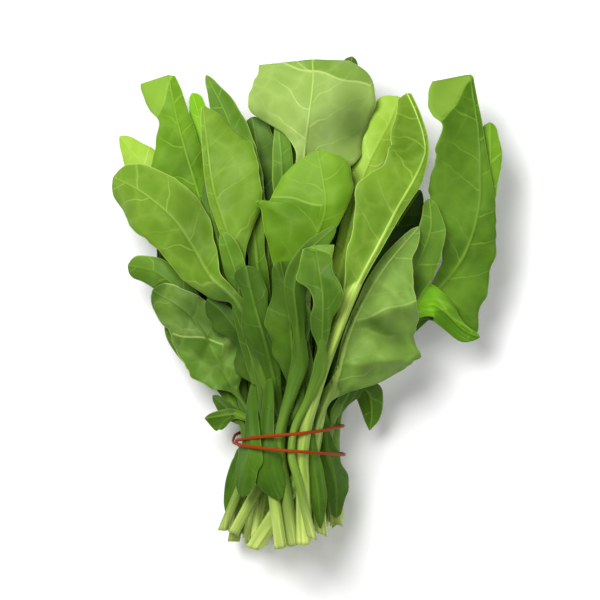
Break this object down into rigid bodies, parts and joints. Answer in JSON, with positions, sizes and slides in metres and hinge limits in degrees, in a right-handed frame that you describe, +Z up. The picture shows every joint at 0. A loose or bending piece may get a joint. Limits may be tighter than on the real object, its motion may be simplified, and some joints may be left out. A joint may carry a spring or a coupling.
{
  "type": "spinach bunch",
  "caption": "Bunch of fresh leaf spinach lying on its back, waved green leaves fanned out from pale cut stalks that an elastic band ties together.",
  "frame": {"origin": "middle of the bunch's bounding box, on the surface it lies on", "axes": "+Y along the bunch from the cut stalk ends to the leaf tips, +X to the right seen from above, +Z up"},
  "size_m": [0.2362, 0.297, 0.1061],
  "materials": {
    "leaf": "satin, waxy leaf",
    "band": "satin"
  },
  "bodies": {
    "root": {"elastic_band": "band", "leaf_centre": "leaf", "leaf_centre_left": "leaf", "leaf_centre_low": "leaf", "leaf_far_left": "leaf", "leaf_fold_left": "leaf", "leaf_fold_right": "leaf", "leaf_hidden_1": "leaf", "leaf_hidden_10": "leaf", "leaf_hidden_11": "leaf", "leaf_hidden_12": "leaf", "leaf_hidden_13": "leaf", "leaf_hidden_14": "leaf", "leaf_hidden_2": "leaf", "leaf_hidden_3": "leaf", "leaf_hidden_4": "leaf", "leaf_hidden_5": "leaf", "leaf_hidden_6": "leaf", "leaf_hidden_7": "leaf", "leaf_hidden_8": "leaf", "leaf_hidden_9": "leaf", "leaf_inner_back": "leaf", "leaf_inner_dark": "leaf", "leaf_inner_narrow": "leaf", "leaf_left_behind": "leaf", "leaf_left_big": "leaf", "leaf_left_centre": "leaf", "leaf_left_inner": "leaf", "leaf_left_mid": "leaf", "leaf_left_sliver": "leaf", "leaf_left_small": "leaf", "leaf_left_tall": "leaf", "leaf_low_left": "leaf", "leaf_low_left_behind": "leaf", "leaf_low_left_tip": "leaf", "leaf_low_scrap": "leaf", "leaf_low_sprout": "leaf", "leaf_right_behind": "leaf", "leaf_right_big": "leaf", "leaf_right_curl": "leaf", "leaf_right_dark": "leaf", "leaf_right_edge": "leaf", "leaf_right_inner": "leaf", "leaf_right_low": "leaf", "leaf_right_small": "leaf", "leaf_right_strip": "leaf", "leaf_right_tall": "leaf", "leaf_top": "leaf", "leaf_top_tip": "leaf", "tucked_leaf_far_left": "leaf", "tucked_leaf_inner": "leaf", "tucked_leaf_left": "leaf", "tucked_leaf_mid": "leaf", "tucked_leaf_narrow": "leaf", "tucked_leaf_right": "leaf"}
  },
  "joints": []
}
